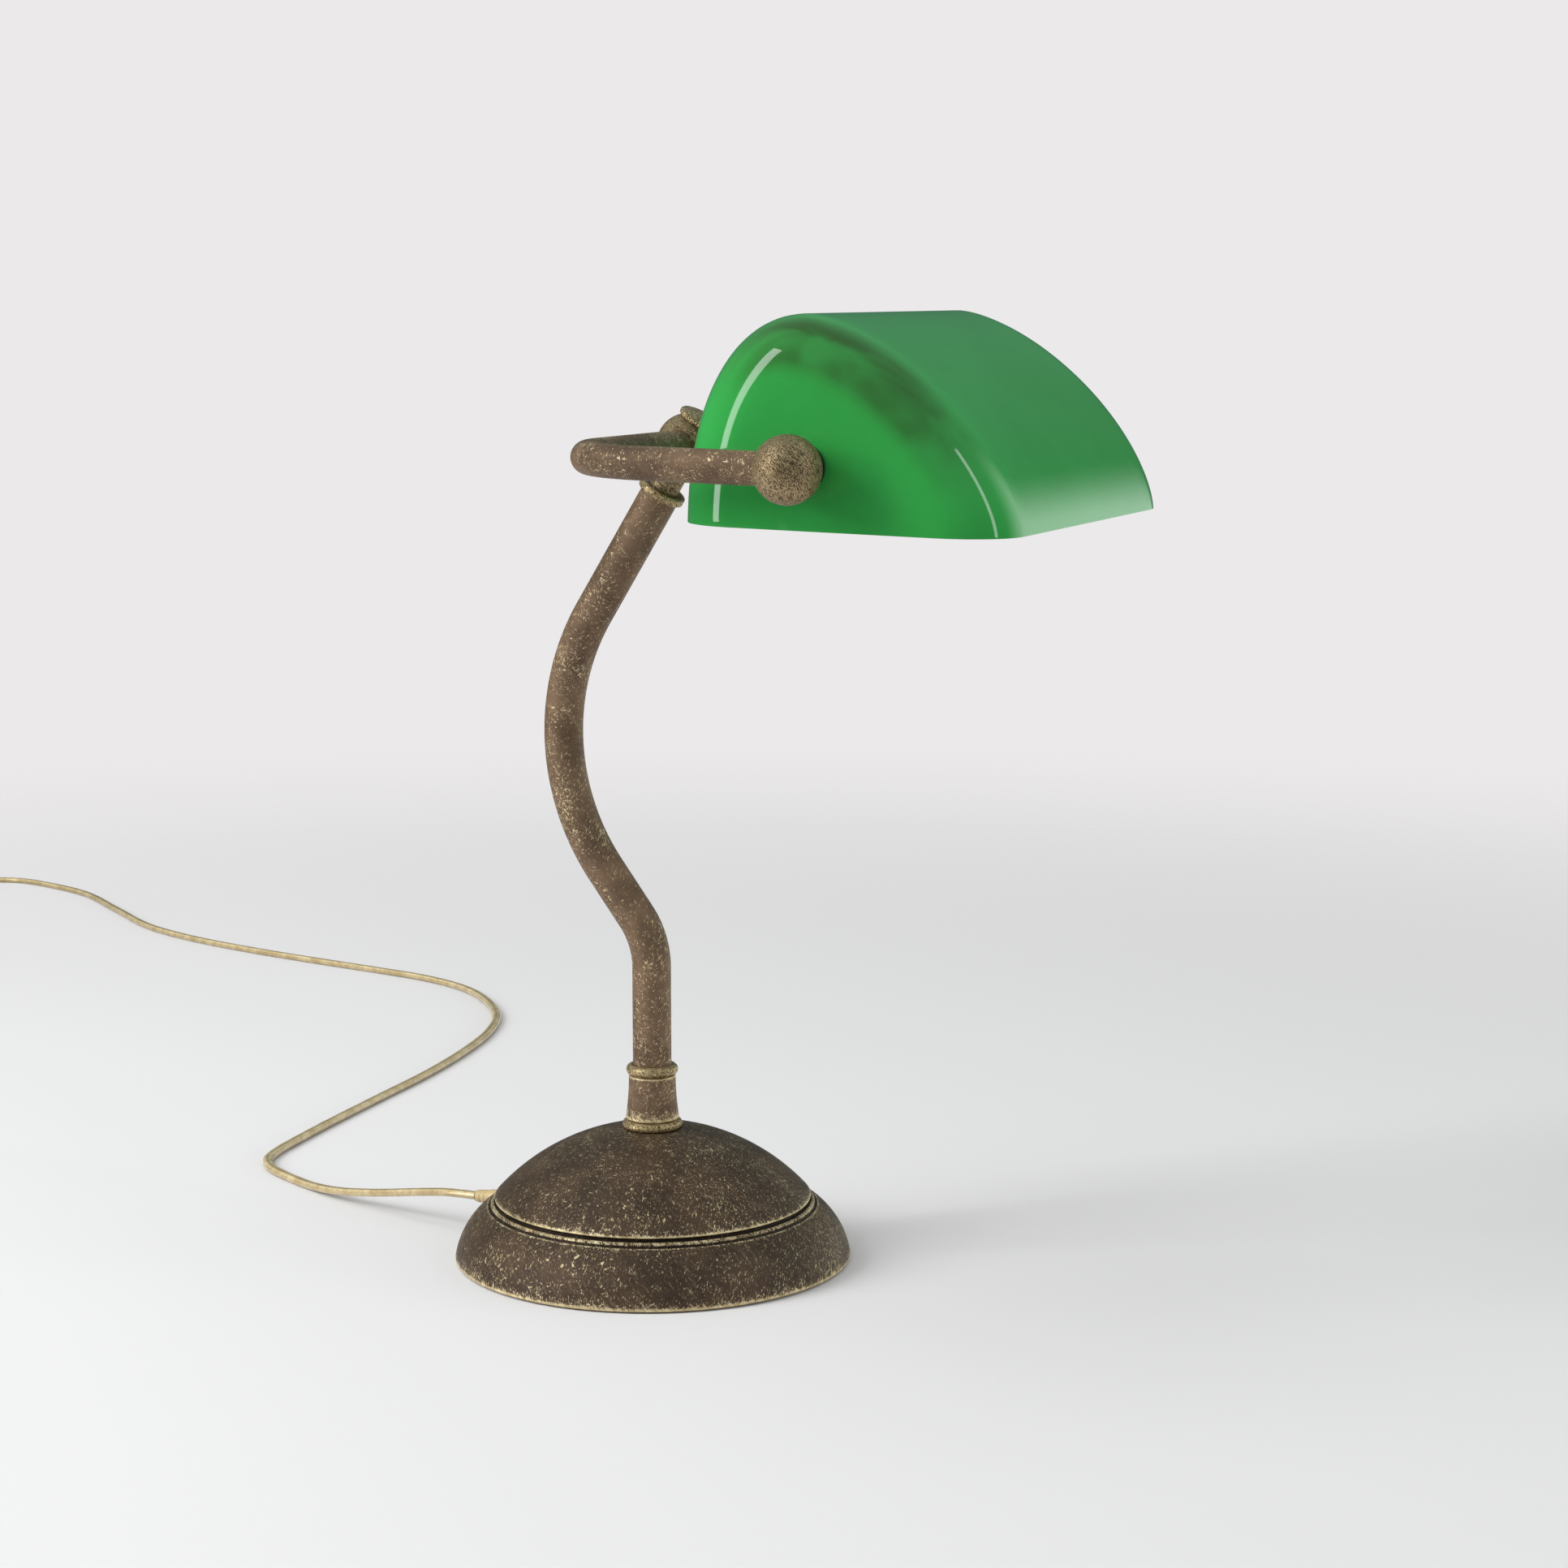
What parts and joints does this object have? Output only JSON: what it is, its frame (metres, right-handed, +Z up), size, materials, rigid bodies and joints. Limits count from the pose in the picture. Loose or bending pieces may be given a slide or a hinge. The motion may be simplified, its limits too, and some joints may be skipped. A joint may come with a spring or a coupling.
{
  "type": "banker desk lamp",
  "caption": "Banker desk lamp: domed round base, swan-neck stem, U-shaped tilting yoke and a long green cased-glass shade on a horizontal axis.",
  "frame": {"origin": "centre of the felt pad's underside, where the lamp stands on the table", "axes": "+Z up, -Y to the front (the way the yoke reaches), X along the yoke's and the shade's axes"},
  "size_m": [0.8116, 1.0798, 0.4128],
  "materials": {
    "aged_bronze": "dark antique bronze, rubbed through to pale brass",
    "worn_brass": "antique brass, brushed and worn",
    "bare_brass": "plain turned brass",
    "cast_iron": "rough cast",
    "zinc_steel": "zinc plated",
    "green_felt": "wool felt",
    "green_glass": "cased glass, green over white, opaque and glossy",
    "black_rubber": "matt",
    "bakelite": "glossy",
    "porcelain": "glazed",
    "opal_glass": "opal",
    "cap_metal": "bright",
    "gold_pvc": "glossy champagne gold"
  },
  "bodies": {
    "stand": {"base_shell": "aged_bronze", "base_weight": "cast_iron", "bottom_plate": "zinc_steel", "felt_pad": "green_felt", "plate_screws": "zinc_steel", "threaded_tube": "bare_brass", "tube_nut": "zinc_steel", "tube_washer": "zinc_steel", "lower_bead": "worn_brass", "collar_sleeve": "aged_bronze", "upper_bead": "worn_brass", "stem_tube": "aged_bronze", "stem_bushing": "bare_brass", "joint_ring": "worn_brass", "joint_ball": "worn_brass", "clamp_shoe": "bare_brass", "stem_flex": "gold_pvc", "cord_relief": "gold_pvc", "cord_anchor": "zinc_steel", "anchor_screws": "zinc_steel", "cord_tube": "gold_pvc", "cord_coil": "gold_pvc", "cord_tail": "gold_pvc", "coil_tie": "bakelite", "plug_body": "gold_pvc", "plug_pins": "bare_brass"},
    "knob": {"clamp_stud": "worn_brass", "clamp_knob": "worn_brass"},
    "yoke": {"yoke_tube": "aged_bronze", "end_ball_left": "worn_brass", "end_ball_right": "worn_brass", "pivot_nipples": "bare_brass", "outer_washers": "black_rubber", "inner_washers": "black_rubber", "inner_nuts": "zinc_steel", "holder_cap": "worn_brass", "holder_shell": "worn_brass", "holder_block": "porcelain", "screw_shell": "bare_brass", "centre_contact": "bare_brass", "bulb_glass": "opal_glass", "bulb_cap": "cap_metal", "yoke_flex": "gold_pvc"},
    "shade": {"glass_shade": "green_glass"},
    "key": {"switch_key": "bakelite"}
  },
  "joints": [
    {"name": "yoke_tilt", "type": "hinge", "parent": "stand", "child": "yoke", "pos_m": [0, -0.01855, 0.3566], "axis": [1, 0, 0], "range_deg": [-30, 45]},
    {"name": "shade_tilt", "type": "hinge", "parent": "yoke", "child": "shade", "pos_m": [0, -0.11702, 0.35454], "axis": [1, 0, 0], "range_deg": [-60, 45]},
    {"name": "knob_turn", "type": "hinge", "parent": "stand", "child": "knob", "pos_m": [0, -0.01855, 0.3566], "axis": [0, -0.5255, 0.8508], "range_deg": [0, 540]},
    {"name": "switch_turn", "type": "hinge", "parent": "yoke", "child": "key", "pos_m": [0.087, -0.11702, 0.35454], "axis": [0, -0.9998, -0.0209], "continuous": true}
  ]
}
